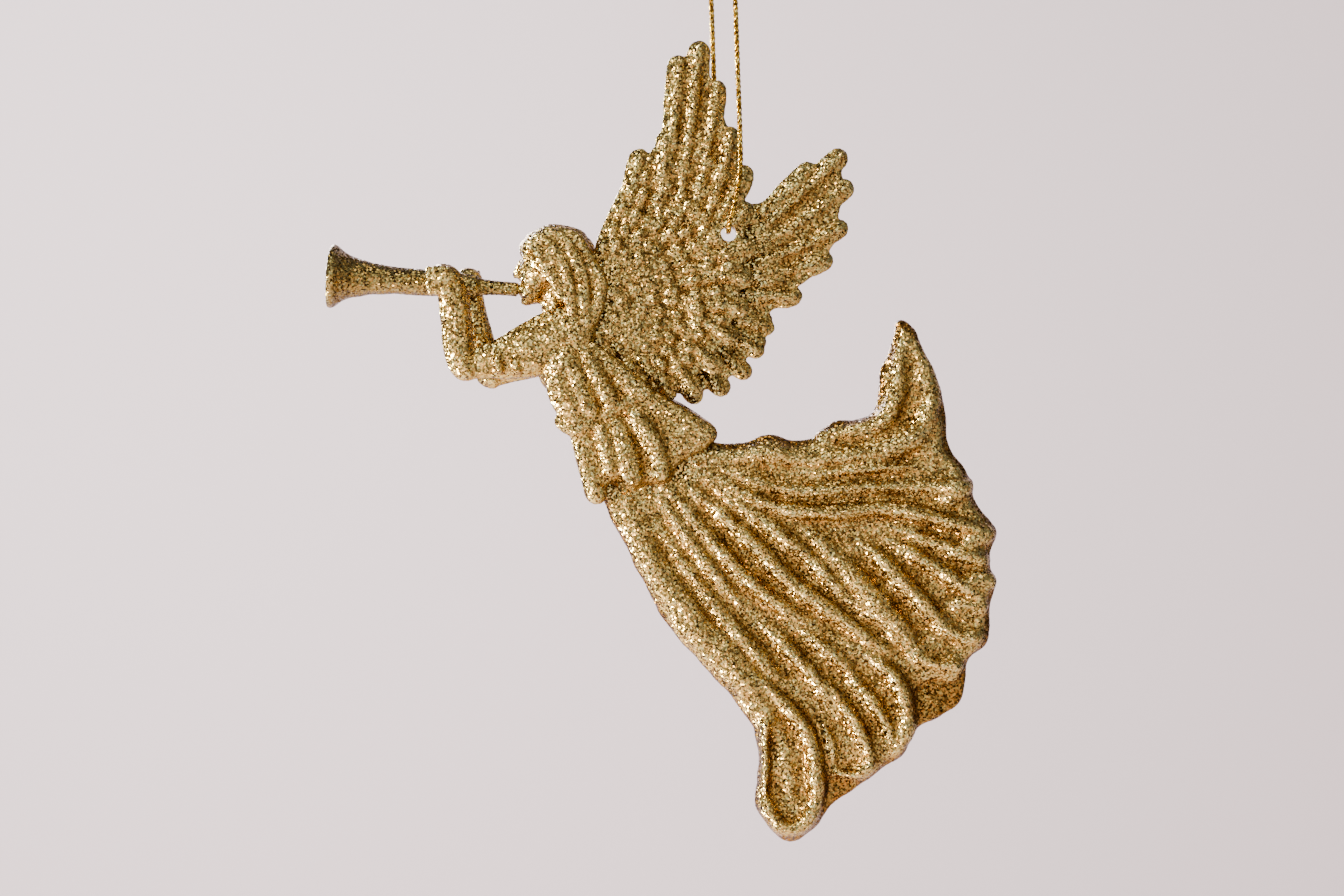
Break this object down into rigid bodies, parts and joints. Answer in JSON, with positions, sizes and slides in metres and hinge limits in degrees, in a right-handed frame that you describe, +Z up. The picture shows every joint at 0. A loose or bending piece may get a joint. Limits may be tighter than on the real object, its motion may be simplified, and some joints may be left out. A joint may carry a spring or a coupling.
{
  "type": "hanging angel ornament",
  "caption": "Flat two-sided flying angel that blows a long trumpet, coated in gold glitter, with layered wings and a folded skirt, hung on a loop of thin gold cord.",
  "frame": {"origin": "the inside of the top of the hanging loop, where a hook holds it", "axes": "+Z up along the pull of the hook, +X towards the tail of the skirt, +Y through the flat figure away from the side that faces the viewer"},
  "size_m": [0.1066, 0.0112, 0.1749],
  "materials": {
    "gold_glitter": "moulded resin coated all over in fine loose gold glitter, sparkling",
    "gold_cord": "twisted metallic thread"
  },
  "bodies": {
    "cord_loop": {"hang_cord": "gold_cord", "cord_knot": "gold_cord"},
    "figure": {"head": "gold_glitter", "torso": "gold_glitter", "skirt": "gold_glitter", "near_arm": "gold_glitter", "far_arm": "gold_glitter", "near_wing": "gold_glitter", "far_wing": "gold_glitter", "trumpet": "gold_glitter"}
  },
  "joints": [
    {"name": "figure_swing", "type": "hinge", "parent": "cord_loop", "child": "figure", "pos_m": [0, 0, -0.06978], "axis": [0, 1, 0], "range_deg": [-30, 30]}
  ]
}
